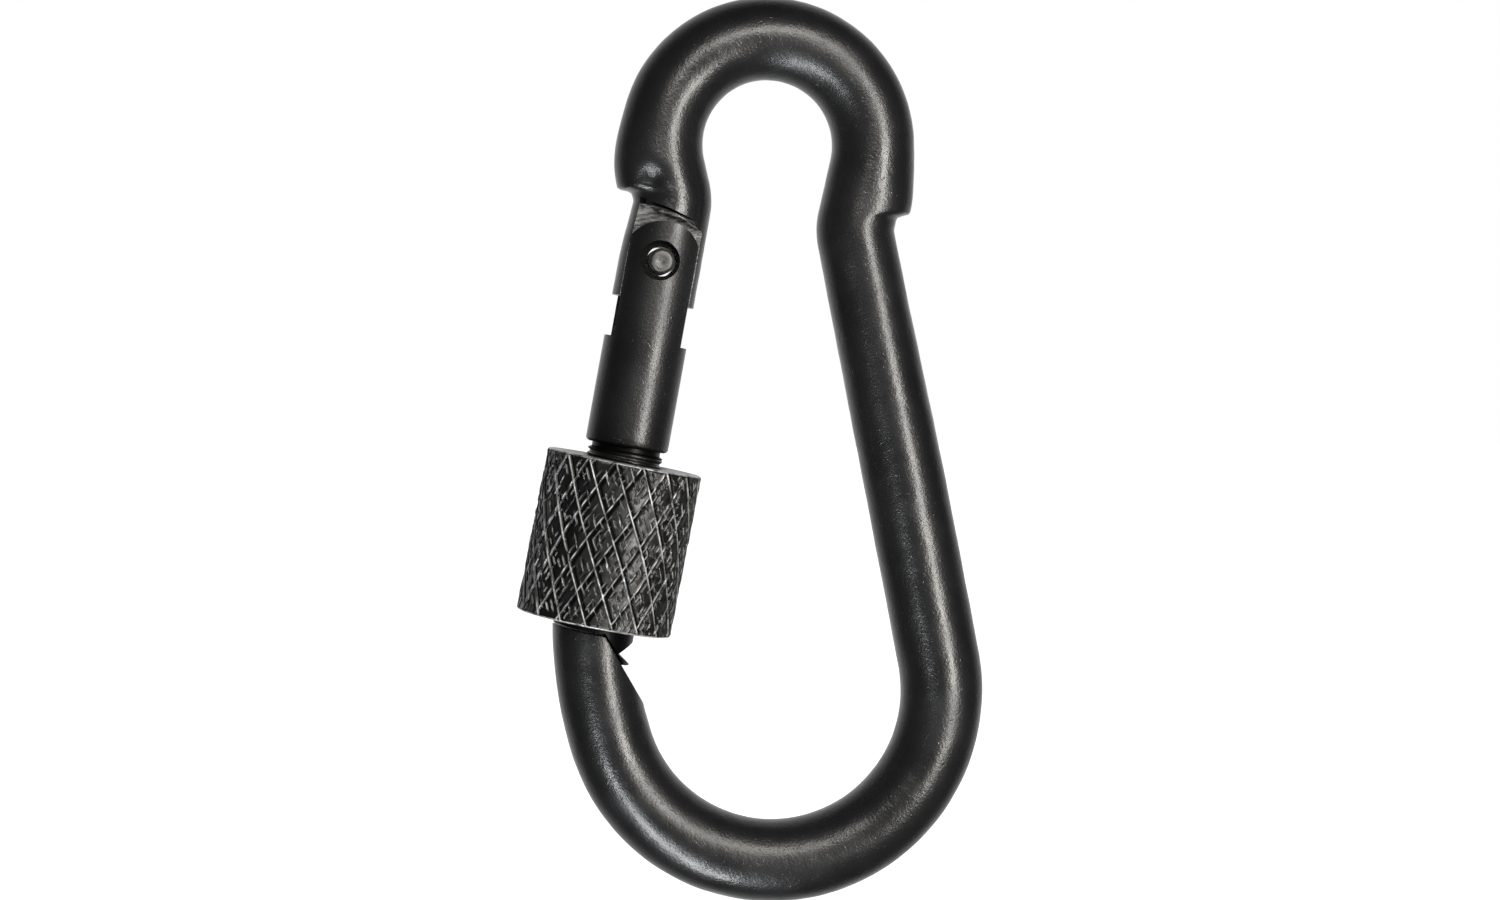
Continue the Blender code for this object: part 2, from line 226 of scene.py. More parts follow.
# How worn (worn edges also carry a painted edge highlight), how darkened by painted shade and how sheared a
# face is
CRACK_IN_PAINTED_SHADE = (0.0, 1.0, 0.0)
SHEARED = (0.0, 0.0, 1.0)
LIGHTLY_SHEARED = (0.0, 0.0, 0.45)
SLOT_IN_PAINTED_SHADE = (0.0, 0.9, 0.0)
RECESS_IN_PAINTED_SHADE = (0.0, 1.0, 0.0)
RELIEF_AND_END_IN_PAINTED_SHADE = (0.0, 0.95, 0.0)

# Colours and finishes
HOOK_BLACK = (0.006, 0.006, 0.0065)
HOOK_ROUGHNESS = 0.31
GATE_BLACK = (0.005, 0.005, 0.0055)
GATE_ROUGHNESS = 0.34
# Near black: the sleeve's own coat between its knurl crests, and the painted shade on marked faces of the
# hook and gate
COAT_BLACK_AND_PAINTED_SHADE = (0.002, 0.002, 0.002)
# Worn bare steel on the rounded cut edges, painted bright enough to stand in for edge highlights too
WORN_STEEL_AND_EDGE_HIGHLIGHT = (0.75, 0.75, 0.74)
# Rubbed steel on the knurl's crests and the sleeve's rims, painted bright enough to stand in for glints too
RUBBED_STEEL_AND_GLINT = (0.6, 0.6, 0.59)
TORN_DARK = (0.012, 0.012, 0.012)
TORN_BRIGHT = (0.5, 0.5, 0.49)
RIVET_GREY = (0.17, 0.17, 0.165)
RIVET_ROUGHNESS = 0.5
SPRING_GREY = (0.5, 0.5, 0.5)
SPRING_ROUGHNESS = 0.28


# ---------------------------------------------------------------- mesh helpers


def new_object(name, builder, world=None):
    """An object in the row frame, in metres, from a bmesh in millimetres."""
    if world is not None:
        builder.transform(world)
    bmesh.ops.recalc_face_normals(builder, faces=builder.faces)
    bmesh.ops.scale(builder, vec=(MM, MM, MM), verts=builder.verts)
    mesh = bpy.data.meshes.new(name)
    builder.to_mesh(mesh)
    builder.free()
    thing = bpy.data.objects.new(name, mesh)
    bpy.context.scene.collection.objects.link(thing)
    return thing


def gate_matrix():
    """From the gate's own frame, with X inward and Z up along the gate, to the row frame, in mm."""
    return Matrix.Translation(HINGE) @ Matrix.Rotation(GATE_TILT, 4, "Y")


def join_rings(builder, rings, closed=False):
    pairs = list(zip(rings, rings[1:]))
    if closed:
        pairs.append((rings[-1], rings[0]))
    for lower, upper in pairs:
        count = len(lower)
        for side in range(count):
            following = (side + 1) % count
            builder.faces.new((lower[side], lower[following], upper[following], upper[side]))


def turned(profile, sides, closed=False, radius_at=None):
    """A body turned about local Z. radius_at may change a point's radius from its angle and height."""
    builder = bmesh.new()
    rings = []
    for radius, height in profile:
        ring = []
        for side in range(sides):
            angle = 2 * math.pi * side / sides
            size = radius if radius_at is None else radius_at(radius, height, angle)
            place = (size * math.cos(angle), size * math.sin(angle), height)
            ring.append(builder.verts.new(place))
        rings.append(ring)
    join_rings(builder, rings, closed)
    if not closed:
        builder.faces.new(rings[0])
        builder.faces.new(rings[-1])
    return builder


def block(corners_low, corners_high):
    """A block between two outlines of (inward, y, depth) points in the gate frame."""
    builder = bmesh.new()
    rings = []
    for corners in (corners_low, corners_high):
        rings.append([builder.verts.new((x, y, -depth)) for x, y, depth in corners])
    join_rings(builder, rings)
    builder.faces.new(rings[0])
    builder.faces.new(rings[1])
    return builder


def plate(outline, low, high):
    """A block with one outline of (inward, depth) points, between two Y values."""
    return block([(x, low, d) for x, d in outline], [(x, high, d) for x, d in outline])


def cross_cylinder(radius, low, high, inward, sides):
    """A cylinder along Y at the hinge's depth."""
    outline = []
    for side in range(sides):
        angle = 2 * math.pi * side / sides
        outline.append((inward + radius * math.cos(angle), radius * math.sin(angle)))
    return plate(outline, low, high)


def cut(thing, builder):
    """Takes a shape built in the gate frame out of an object."""
    cutter = new_object("cutter", builder, gate_matrix())
    modifier = thing.modifiers.new("cut", "BOOLEAN")
    modifier.operation = "DIFFERENCE"
    modifier.solver = "EXACT"
    modifier.object = cutter
    apply_modifiers(thing)
    bpy.data.objects.remove(cutter, do_unlink=True)


def apply_modifiers(thing):
    bpy.context.view_layer.update()
    graph = bpy.context.evaluated_depsgraph_get()
    mesh = bpy.data.meshes.new_from_object(thing.evaluated_get(graph))
    thing.modifiers.clear()
    thing.data = mesh


def bevel_cuts(thing, width, least_area):
    """Rounds the edges that the cuts left, and marks the narrow new faces as worn, which also paints an edge
    highlight on them.

    Only edges of faces above an area in mm2 count, which leaves out the fine swept surface.
    """
    mesh = thing.data
    builder = bmesh.new()
    builder.from_mesh(mesh)
    weights = []
    for edge in builder.edges:
        sharp = len(edge.link_faces) == 2 and edge.calc_face_angle(0.0) > EDGE_ANGLE
        large = any(face.calc_area() / MM**2 > least_area for face in edge.link_faces)
        weights.append(1.0 if sharp and large else 0.0)
    builder.free()
    weight = mesh.attributes.new("bevel_weight_edge", "FLOAT", "EDGE")
    weight.data.foreach_set("value", weights)
    mesh.materials.clear()
    mesh.materials.append(None)
    mesh.materials.append(None)
    modifier = thing.modifiers.new("soften", "BEVEL")
    modifier.width = width * MM
    modifier.segments = EDGE_SEGMENTS
    modifier.limit_method = "WEIGHT"
    modifier.material = 1
    apply_modifiers(thing)


def mark_faces(thing, shade_at):
    """Stores how worn (worn edges also get a painted edge highlight), how darkened by painted shade and how
    sheared each face is. shade_at gets its place and normal on the gate.
    """
    mesh = thing.data
    to_gate = gate_matrix().inverted()
    turn = to_gate.to_3x3()
    shades = []
    for face in mesh.polygons:
        place = to_gate @ (face.center / MM)
        worn_and_edge_highlight = face.material_index == 1
        shades.append(shade_at(place.x, place.y, -place.z, turn @ face.normal, worn_and_edge_highlight))
    for index, name in enumerate(("worn_and_edge_highlight", "painted_shade", "sheared")):
        attribute = mesh.attributes.new(name, "FLOAT", "FACE")
        attribute.data.foreach_set("value", [shade[index] for shade in shades])


def finish_surface(thing, material, sharp=40.0):
    thing.data.materials.clear()
    thing.data.materials.append(material)
    thing.data.shade_smooth()
    thing.data.set_sharp_from_angle(angle=math.radians(sharp))


def smooth_step(value, low, high):
    t = min(max((value - low) / (high - low), 0.0), 1.0)
    return t * t * (3 - 2 * t)


# ---------------------------------------------------------------- hook body


def gate_point(depth):
    """Row-frame X and Z of a point on the gate's axis."""
    x = HINGE.x - depth * math.sin(GATE_TILT)
    z = HINGE.z - depth * math.cos(GATE_TILT)
    return Vector((x, z))


def arc(centre, radius, start, end):
    count = max(4, round(radius * math.radians(abs(end - start)) / WIRE_STEP))
    points = []
    for step in range(count + 1):
        angle = math.radians(start + (end - start) * step / count)
        points.append(centre + radius * Vector((math.cos(angle), math.sin(angle))))
    return points


def tangent_angle(point, centre, radius, side):
    away = point - centre
    spread = math.acos(radius / away.length)
    return math.degrees(math.atan2(away.y, away.x) + side * spread)


def bend(before, corner, after, radius):
    back = (before - corner).normalized()
    ahead = (after - corner).normalized()
    half = back.angle(ahead) / 2
    middle = corner + (back + ahead).normalized() * (radius / math.sin(half))
    first = corner + back * (radius / math.tan(half)) - middle
    last = corner + ahead * (radius / math.tan(half)) - middle
    start = math.degrees(math.atan2(first.y, first.x))
    turn = math.degrees(math.atan2(last.y, last.x)) - start
    turn = (turn + 180) % 360 - 180
    return arc(middle, radius, start, start + turn)


def straight(start, end):
    count = max(1, round((end - start).length / WIRE_STEP))
    return [start.lerp(end, step / count) for step in range(1, count)]


def hook_path():
    """Centre line of the wire, evenly stepped, from the tongue to the nose."""
    left_bend = gate_point(-NECK_LENGTH)
    loop_left = tangent_angle(left_bend, LOOP_CENTRE, LOOP_RADIUS, -1) % 360
    loop_right = tangent_angle(RIGHT_BEND, LOOP_CENTRE, LOOP_RADIUS, 1)
    basket_right = tangent_angle(RIGHT_BEND, BASKET_CENTRE, BASKET_RADIUS, -1)
    loop = arc(LOOP_CENTRE, LOOP_RADIUS, loop_left, loop_right)
    basket = arc(BASKET_CENTRE, BASKET_RADIUS, basket_right, NOSE_CURVE_START - 360)
    tongue = gate_point(TONGUE_END)
    left = bend(tongue, left_bend, loop[0], BEND_RADIUS)
    right = bend(loop[-1], RIGHT_BEND, basket[0], BEND_RADIUS)
    heading = math.radians(NOSE_CURVE_START)
    inward = Vector((math.cos(heading), math.sin(heading)))
    nose_centre = basket[-1] - NOSE_CURVE_RADIUS * inward
    nose = arc(nose_centre, NOSE_CURVE_RADIUS, NOSE_CURVE_START, NOSE_CURVE_END)
    runs = [[tongue], left, loop, right, basket]
    points = []
    for run, following in zip(runs, runs[1:] + [None]):
        points += run
        if following is not None:
            points += straight(run[-1], following[0])
    return points + nose[1:]


def press_step(along, around, sink, swell, fade):
    """Height of a press mark: full above the bend, then a sharp step down on the outer side.

    along is the distance below the step and around the angle from the outer side, in radians.
    The sunk part returns to the round wire at the distance fade.
    """
    side = math.cos(around)
    if side <= 0:
        return 0.0
    spread = side**PRESS_SPREAD
    line = along - PRESS_SLANT * (1 - side)
    rise = swell * smooth_step(line, *PRESS_RISE) * (1 - smooth_step(line, *PRESS_DROP))
    fall = sink * smooth_step(line, *PRESS_SINK) * (1 - smooth_step(line, PRESS_SINK_HOLD, fade))
    return spread * (rise - fall)


def dent(point, centre):
    """How deep a point lies in the dent."""
    distance = (point - centre).length / DENT_RADIUS
    return DENT_DEPTH * math.exp(-DENT_FALL * distance * distance)


def wander(place):
    """How far the drawn wire's surface wanders outward at a place; it stays inside the true round."""
    total = -WANDER_INWARD
    for frequency, size in (WANDER_SLOW, WANDER_QUICK):
        total += noise.noise(place * frequency) * size
    return total


def lengths_along(points):
    """The length travelled from the first point to each point."""
    travelled = [0.0]
    for before, after in zip(points, points[1:]):
        travelled.append(travelled[-1] + (after - before).length)
    return travelled


def nearest_length(points, travelled, target):
    """The length travelled to the point nearest the target."""
    nearest = min(range(len(points)), key=lambda index: (points[index] - target).length)
    return travelled[nearest]


def hook_builder():
    """The whole wire as rings along its centre line, with its press marks, dent and unevenness."""
    points = hook_path()
    builder = bmesh.new()
    rings = []
    left_bend = gate_point(-NECK_LENGTH)
    travelled = lengths_along(points)
    left_step = nearest_length(points, travelled, left_bend) + LEFT_PRESS_SHIFT
    right_step = nearest_length(points, travelled, RIGHT_BEND) - RIGHT_PRESS_SHIFT
    pit = left_bend + DENT_SHIFT
    pit = Vector((pit.x, -WIRE_RADIUS, pit.y))
    for index, point in enumerate(points):
        before = points[max(index - 1, 0)]
        after = points[min(index + 1, len(points) - 1)]
        along = (after - before).normalized()
        outward = Vector((-along.y, along.x))
        ring = []
        for side in range(WIRE_SIDES):
            angle = 2 * math.pi * side / WIRE_SIDES
            size = WIRE_RADIUS
            size += press_step(left_step - travelled[index], angle, **LEFT_PRESS)
            size += press_step(travelled[index] - right_step, angle, **RIGHT_PRESS)
            flat = point + size * math.cos(angle) * outward
            place = Vector((flat.x, size * math.sin(angle), flat.y))
            direction = Vector((math.cos(angle) * outward.x, math.sin(angle), math.cos(angle) * outward.y))
            ring.append(builder.verts.new(place + direction * (wander(place) - dent(place, pit))))
        rings.append(ring)
    join_rings(builder, rings)
    builder.faces.new(rings[0])
    builder.faces.new(rings[-1])
    return builder


def scarf_depth(inward, offset=0.0):
    """Depth of the slanted meeting of gate and nose."""
    return NOSE_END + offset + (inward - SCARF_START) * SCARF_SLOPE


def shoulder_height(y):
    """Height of the slanted shoulder above the hinge, on the gate's axis, at a distance from its middle."""
    rise = (SHOULDER_TOP - SHOULDER_FOOT) / (WIRE_RADIUS + CUTTER_MARGIN - TONGUE_HALF)
    return SHOULDER_FOOT + (abs(y) - TONGUE_HALF) * rise


def cut_shoulder(body, side, reach):
    """The step from round wire to the flat tongue: a slanted sheared face."""
    outlines = []
    for y in (reach, TONGUE_HALF):
        height = shoulder_height(y)
        outlines.append(
            [
                (-reach, side * y, -height - reach * SHOULDER_SLOPE),
                (reach, side * y, -height + reach * SHOULDER_SLOPE),
                (reach, side * y, SLOT_DEPTH),
                (-reach, side * y, SLOT_DEPTH),
            ]
        )
    cut(body, block(*outlines))


def cut_crack(body, side, reach):
    """A narrow torn crack just above the shoulder, wider towards the inside of the hook."""
    outlines = []
    for y in (reach, CRACK_FLOOR):
        low = -shoulder_height(y) - CRACK_LIFT
        slope = reach * SHOULDER_SLOPE
        outer = low - slope - CRACK_OUTER_LIFT
        outlines.append(
            [
                (-reach, side * y, outer),
                (reach, side * y, low + slope),
                (reach, side * y, low + slope - CRACK_INNER_WIDTH),
                (-reach, side * y, outer - CRACK_OUTER_WIDTH),
            ]
        )
    cut(body, block(*outlines))


def end_line(radius, reach):
    """Points of an arc about the hinge, across the outer half of the gate."""
    points = []
    for step in range(9):
        inward = -reach + reach * step / 8
        points.append((inward, math.sqrt(radius**2 - inward**2)))
    return points


def cut_nose(body, reach):
    """Trims the end of the wire for the gate and makes the slot for its blade."""
    wide = reach + CUTTER_MARGIN
    end = end_line(NOSE_END, reach)
    end += [(SCARF_START, NOSE_END), (wide, scarf_depth(wide)), (wide, NOSE_CUT_TOP), (-reach, NOSE_CUT_TOP)]
    cut(body, plate(end, -reach, reach))
    fork = [(FORK_EDGE[0][0], NOSE_CUT_TOP + 1), *FORK_EDGE]
    fork += [(wide + 1, FORK_EDGE[-1][1]), (wide + 1, NOSE_CUT_TOP + 1)]
    cut(body, plate(fork, -FORK_HALF, FORK_HALF))


def hook_shades(inward, y, depth, normal, worn_and_edge_highlight):
    """How worn, how darkened by painted shade and how sheared a hook face is: the shoulder and the tongue's
    flats are sheared, and the crack and the nose's slot get painted shade.
    """
    above = -depth - shoulder_height(y) + inward * SHOULDER_SLOPE
    # Faces inside the crack above the shoulder: painted shade
    if abs(y) > TONGUE_HALF - 0.1 and 0.1 < above < 0.9 and math.hypot(inward, y) < WIRE_RADIUS - 0.35:
        return CRACK_IN_PAINTED_SHADE
    if abs(y) > TONGUE_HALF - 0.1 and abs(above) < 0.12 and -normal.z > 0.3:
        return SHEARED
    if -9 < depth < TONGUE_END + 0.5 and abs(normal.y) > 0.95 and abs(y) < TONGUE_HALF + 0.1:
        return LIGHTLY_SHEARED
    # Faces in the nose's slot for the gate's blade: painted shade
    if 49 < depth < 55 and 0.5 < inward < WIRE_RADIUS + 1 and abs(y) < FORK_HALF + 0.1:
        return SLOT_IN_PAINTED_SHADE
    return float(worn_and_edge_highlight), 0.0, 0.0


def make_hook_body(material):
    body = new_object("hook_wire", hook_builder())
    reach = WIRE_RADIUS + CUTTER_MARGIN
    for side in (-1, 1):
        cut_shoulder(body, side, reach)
    cut(body, cross_cylinder(PIN_HOLE_RADIUS, -reach, reach, 0.0, 48))
    cut_nose(body, reach)
    bevel_cuts(body, EDGE_ROUNDING, 0.5)
    for side in (-1, 1):
        cut_crack(body, side, reach)
    mark_faces(body, hook_shades)
    finish_surface(body, material)
    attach(body, "hook")
    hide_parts("hook_body")
    return body


# ---------------------------------------------------------------- gate


def gate_profile():
    """Outline of the gate bar with fine rings where the thread is."""
    profile = [
        *[(WIRE_RADIUS, EAR_RADIUS + 0.6 - BAR_RING_STEP * ring) for ring in range(BAR_RINGS)],
        (WIRE_RADIUS, -BAR_LENGTH + BAR_CORNER),
        (WIRE_RADIUS - 0.12, -BAR_LENGTH + 0.2),
        (WIRE_RADIUS - BAR_CORNER, -BAR_LENGTH),
        (THREAD_RADIUS - RELIEF_DEPTH, -BAR_LENGTH - 0.02),
        (THREAD_RADIUS - RELIEF_DEPTH, -THREAD_TOP + 0.25),
    ]
    end = COLLAR_TOP - 0.3
    for ring in range(THREAD_RINGS + 1):
        profile.append((THREAD_RADIUS, -THREAD_TOP - (end - THREAD_TOP) * ring / THREAD_RINGS))
    for ring in range(TIP_RINGS + 1):
        profile.append((COLLAR_RADIUS, -COLLAR_TOP - (TIP_LENGTH - COLLAR_TOP) * ring / TIP_RINGS))
    return profile


def thread_radius(radius, height, angle):
    """Screw thread: a ridge that climbs one pitch a turn, fading at both ends."""
    depth = -height
    if depth < THREAD_TOP - 1e-6 or depth > COLLAR_TOP - 0.25:
        return radius
    turn = (depth / THREAD_PITCH - angle / (2 * math.pi)) % 1.0
    ridge = abs(turn - 0.5) * 2
    fade = smooth_step(depth, THREAD_TOP, THREAD_TOP + 0.3)
    fade *= 1 - smooth_step(depth, COLLAR_TOP - 1.4, COLLAR_TOP - 0.4)
    return radius - THREAD_DEPTH * fade * smooth_step(ridge, 0.1, 0.9)


def cut_ears(bar, reach):
    """Rounds the ears and makes the slot between them, the pin's hole and its recesses."""
    outline = [(reach, 0.0), (reach, -reach), (-reach, -reach), (-reach, 0.0)]
    for step in range(49):
        angle = math.pi * step / 48
        outline.append((-EAR_RADIUS * math.cos(angle), -EAR_RADIUS * math.sin(angle)))
    cut(bar, plate(outline, -reach, reach))
    slot = [(-reach, -reach), (reach, -reach), (reach, SLOT_DEPTH), (-reach, SLOT_DEPTH)]
    cut(bar, plate(slot, -SLOT_HALF, SLOT_HALF))
    cut(bar, cross_cylinder(PIN_HOLE_RADIUS, -reach, reach, 0.0, 48))
    for side in (-1, 1):
        edges = sorted((side * RECESS_FLOOR, side * reach))
        cut(bar, cross_cylinder(RECESS_RADIUS, *edges, RECESS_SHIFT, 64))


def cut_gate_end(bar, reach):
    """The end keeps a gap to the nose, and its middle goes on as a blade with a notch."""
    below = TIP_LENGTH + reach
    cheek = end_line(GATE_CHEEK_END, reach)
    cheek += [(SCARF_START, NOSE_END - SCARF_GAP), (reach, scarf_depth(reach, -SCARF_GAP))]
    cheek += [(reach, below), (-reach, below)]
    for side in (-1, 1):
        cut(bar, plate(cheek, *sorted((side * BLADE_HALF, side * reach))))
    blade = end_line(GATE_MIDDLE_END, reach)
    blade += [(BLADE_EDGE[0][0], GATE_MIDDLE_END), *BLADE_EDGE]
    blade += [(reach, BLADE_EDGE[-1][1]), (reach, below + 1), (-reach, below + 1)]
    cut(bar, plate(blade, -reach - 1, reach + 1))
    cut(bar, plate(NOTCH, -reach, reach))


def gate_shades(inward, y, depth, normal, worn_and_edge_highlight):
    """How worn, how darkened by painted shade and how sheared a gate face is: painted shade darkens the
    recesses, the relief and the end.
    """
    from_pin = math.hypot(inward - RECESS_SHIFT, depth)
    # Faces in the pin's recesses: painted shade
    if from_pin < RECESS_RADIUS - 0.05 and abs(y) < WIRE_RADIUS - 0.2:
        return RECESS_IN_PAINTED_SHADE
    # The thread's relief below the bar and the gate's end: painted shade
    if BAR_LENGTH + 0.02 < depth < THREAD_TOP + 0.2 or depth > GATE_MIDDLE_END - 1.2:
        return RELIEF_AND_END_IN_PAINTED_SHADE
    return float(worn_and_edge_highlight), 0.0, 0.0


def make_gate_bar(material):
    builder = turned(gate_profile(), 96, radius_at=thread_radius)
    bar = new_object("gate_bar_threaded", builder, gate_matrix())
    reach = WIRE_RADIUS + CUTTER_MARGIN
    cut_ears(bar, reach)
    cut(bar, turned([(BORE_RADIUS, -SLOT_DEPTH + 2), (BORE_RADIUS, -BORE_DEPTH)], 48))
    cut_gate_end(bar, reach)
    bevel_cuts(bar, EDGE_ROUNDING, 0.6)
    mark_faces(bar, gate_shades)
    finish_surface(bar, material, 35.0)
    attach(bar, "gate")
    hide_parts("gate_bar")
    return bar


def make_rivet(material):
    """A headed pin whose bright faces are slightly crowned and dimpled off centre."""
    head = [
        *RIVET_CROWN,
        (RIVET_HEAD_RADIUS, -0.25),
        (RIVET_HEAD_RADIUS, -RIVET_HEAD_HEIGHT),
        (RIVET_RADIUS, -RIVET_HEAD_HEIGHT - 0.15),
    ]
    profile = [(radius, RIVET_HALF_LENGTH + drop) for radius, drop in head]
    profile += [(radius, -height) for radius, height in reversed(profile)]
    builder = turned(profile, 64)
    for vert in builder.verts:
        away = math.hypot(vert.co.x - RIVET_DIMPLE_PLACE[0], vert.co.y - RIVET_DIMPLE_PLACE[1])
        sink = RIVET_DIMPLE_DEPTH * math.exp(-((away / RIVET_DIMPLE_RADIUS) ** 2))
        vert.co.z -= math.copysign(sink, vert.co.z)
    world = gate_matrix() @ Matrix.Rotation(math.radians(90), 4, "X")
    rivet = new_object("rivet_pin", builder, world)
    finish_surface(rivet, material, 50.0)
    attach(rivet, "gate")
    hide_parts("hinge_rivet")
    return rivet


# ---------------------------------------------------------------- lock sleeve


def ridge(distance, half_width):
    """1 on a ridge's crest, 0 at its foot."""
    return np.clip(1 - np.abs(distance) / half_width, 0, 1)


def ripple(values, seed):
    """A smooth irregular wave between about -1 and 1."""
    rng = np.random.default_rng(seed)
    total = np.zeros_like(values)
    for _ in range(5):
        total += np.sin(values * rng.uniform(0.6, 3.4) + rng.uniform(0, 2 * math.pi))
    return total / 3


def knurl_height(angle, depth):
    """Height of the knurl at an angle and a depth along the sleeve, from -1 in a groove to 1 on a crest."""
    lean = math.radians(KNURL_ANGLE)
    around = angle / (2 * math.pi)
    drift = 2 * math.pi * SLEEVE_RADIUS
    spacing = drift * math.cos(lean) / KNURL_COUNT
    height = np.zeros_like(around + depth)
    sunk = np.zeros_like(height)
    for family, (sign, level, pace) in enumerate(RIDGE_FAMILIES):
        phase = around * KNURL_COUNT + sign * depth * math.tan(lean) / drift * KNURL_COUNT
        line = np.floor(phase + 0.5)
        number = line % KNURL_COUNT
        wobble = 0.03 * ripple(number * 2.1 + depth * 0.15, 11 + family)
        strength = np.clip(level + 0.4 * ripple(number * 1.7 + depth * pace, 3 + family), 0.2, 1.0)
        main = (phase - line + wobble) * spacing
        height = np.maximum(height, ridge(main, RIDGE_HALF_WIDTH) * strength)
        sunk = np.maximum(sunk, ridge(main - GROOVE_SHIFT, GROOVE_HALF_WIDTH))
        for shift, seed, size in DASH_ROWS:
            offset = (((phase + shift + 0.5) % 1.0) - 0.5 + wobble) * spacing
            dashes = np.clip(ripple(number * 5.3 + depth * 0.9, seed + family) * 1.6 - 0.1, 0, 1)
            height = np.maximum(height, ridge(offset, DASH_HALF_WIDTH) * size * dashes)
            beside = ridge(offset - DASH_GROOVE_SHIFT, DASH_GROOVE_HALF_WIDTH)
            sunk = np.maximum(sunk, beside * DASH_GROOVE_DEPTH * dashes)
    return np.where(height > CREST_FOOT, height, -sunk * (1 - height / CREST_FOOT))


def sleeve_profile(length):
    """Rows of (radius, depth, knurl's weight) once round the tube's wall, from its top."""
    profile = [(SLEEVE_RADIUS - 2.4, 0.0, 0.0), (SLEEVE_RADIUS - SLEEVE_CHAMFER - 0.1, 0.03, 0.0)]
    for row in range(SLEEVE_ROWS + 1):
        depth = 0.12 + (length - 0.24) * row / SLEEVE_ROWS
        edge = min(depth, length - depth)
        drop = SLEEVE_CHAMFER * max(0.0, 1 - edge / 0.5) ** 2
        profile.append((SLEEVE_RADIUS - drop, depth, smooth_step(edge, 0.1, 0.5)))
    return profile + [
        (SLEEVE_RADIUS - SLEEVE_CHAMFER - 0.1, length - 0.03, 0.0),
        (SLEEVE_RADIUS - 1.0, length, 0.0),
        (SLEEVE_MOUTH, length, 0.0),
        (SLEEVE_MOUTH, length - MOUTH_DEPTH, 0.0),
        (SLEEVE_BORE, length - MOUTH_DEPTH - 0.8, 0.0),
        (SLEEVE_BORE, RING_GROOVE_BOTTOM, 0.0),
        (RING_GROOVE_RADIUS, RING_GROOVE_BOTTOM, 0.0),
        (RING_GROOVE_RADIUS, RING_GROOVE_TOP, 0.0),
        (SLEEVE_BORE, RING_GROOVE_TOP, 0.0),
        (SLEEVE_BORE, 0.5, 0.0),
        (SLEEVE_BORE + 0.5, 0.0, 0.0),
    ]


def grid_faces(rows, sides):
    """Quads over a grid of points that closes on itself both ways."""
    index = np.arange(rows * sides).reshape(rows, sides)
    following = np.roll(index, -1, axis=1)
    below = np.roll(index, -1, axis=0)
    below_following = np.roll(following, -1, axis=0)
    return np.stack([index, below, below_following, following], axis=-1).reshape(-1, 4)


def sleeve_matrix():
    """From the sleeve's middle to the row frame; the sleeve leans a little on its loose thread."""
    middle = (SLEEVE_TOP + SLEEVE_BOTTOM) / 2
    lean = Matrix.Rotation(math.radians(SLEEVE_LEAN), 4, "Y")
    lean = lean @ Matrix.Rotation(math.radians(SLEEVE_NOD), 4, "X")
    return gate_matrix() @ Matrix.Translation((0, 0, -middle)) @ lean


def make_sleeve(material):
    """A tube with a knurl pressed into its outer face."""
    length = SLEEVE_BOTTOM - SLEEVE_TOP
    profile = sleeve_profile(length)
    radius, depth, weight = (np.array(column)[:, None] for column in zip(*profile))
    angle = np.linspace(0, 2 * math.pi, SLEEVE_SIDES, endpoint=False)[None, :]
    knurl = knurl_height(angle, depth)
    size = radius - KNURL_DEPTH * (1 - knurl) * weight + 0 * angle
    points = np.stack(
        [size * np.cos(angle), size * np.sin(angle), -(depth - length / 2) + 0 * angle], axis=-1
    ).reshape(-1, 3)
    world = sleeve_matrix()
    turned_points = points @ np.array(world.to_3x3()).T + np.array(world.translation)
    faces = grid_faces(len(profile), SLEEVE_SIDES)
    mesh = bpy.data.meshes.new("knurled_sleeve")
    mesh.from_pydata((turned_points * MM).tolist(), [], faces.tolist())
    crest = mesh.attributes.new("crest", "FLOAT", "POINT")
    # The chamfered rims count as crests, so they are painted rubbed and glinting too
    rubbed_and_glinting_rims = np.clip((radius - 7.5) / 2, 0, 1) * (weight < 0.3) * 0.75
    crest.data.foreach_set("value", (np.clip(knurl, -1, 1) * weight + rubbed_and_glinting_rims).astype(np.float32).ravel())
    sleeve = bpy.data.objects.new("knurled_sleeve", mesh)
    bpy.context.scene.collection.objects.link(sleeve)
    finish_surface(sleeve, material, 60.0)
    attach(sleeve, "sleeve")
    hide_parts("lock_sleeve")
    return sleeve


# ---------------------------------------------------------------- materials


def shader_of(name):
    material = bpy.data.materials.new(name)
    material.use_nodes = True
    nodes = material.node_tree.nodes
    return material, nodes, material.node_tree.links, nodes["Principled BSDF"]


def add_noise(nodes, links, coordinates, scale, detail, roughness=0.55):
    """A noise texture whose scale is in features a metre."""
    texture = nodes.new("ShaderNodeTexNoise")
    texture.inputs["Scale"].default_value = scale
    texture.inputs["Detail"].default_value = detail
    texture.inputs["Roughness"].default_value = roughness
    links.new(coordinates, texture.inputs["Vector"])
    return texture.outputs["Fac"]


def map_range(nodes, links, value, low, high, to_low, to_high):
    mapper = nodes.new("ShaderNodeMapRange")
    for socket, number in zip(("From Min", "From Max", "To Min", "To Max"), (low, high, to_low, to_high)):
        mapper.inputs[socket].default_value = number
    links.new(value, mapper.inputs["Value"])
    return mapper.outputs["Result"]


def mix_colour(nodes, links, factor, first, second):
    mix = nodes.new("ShaderNodeMix")
    mix.data_type = "RGBA"
    for socket, colour in ((6, first), (7, second)):
        if isinstance(colour, tuple):
            mix.inputs[socket].default_value = (*colour, 1.0)
        else:
            links.new(colour, mix.inputs[socket])
    links.new(factor, mix.inputs[0])
    return mix.outputs[2]


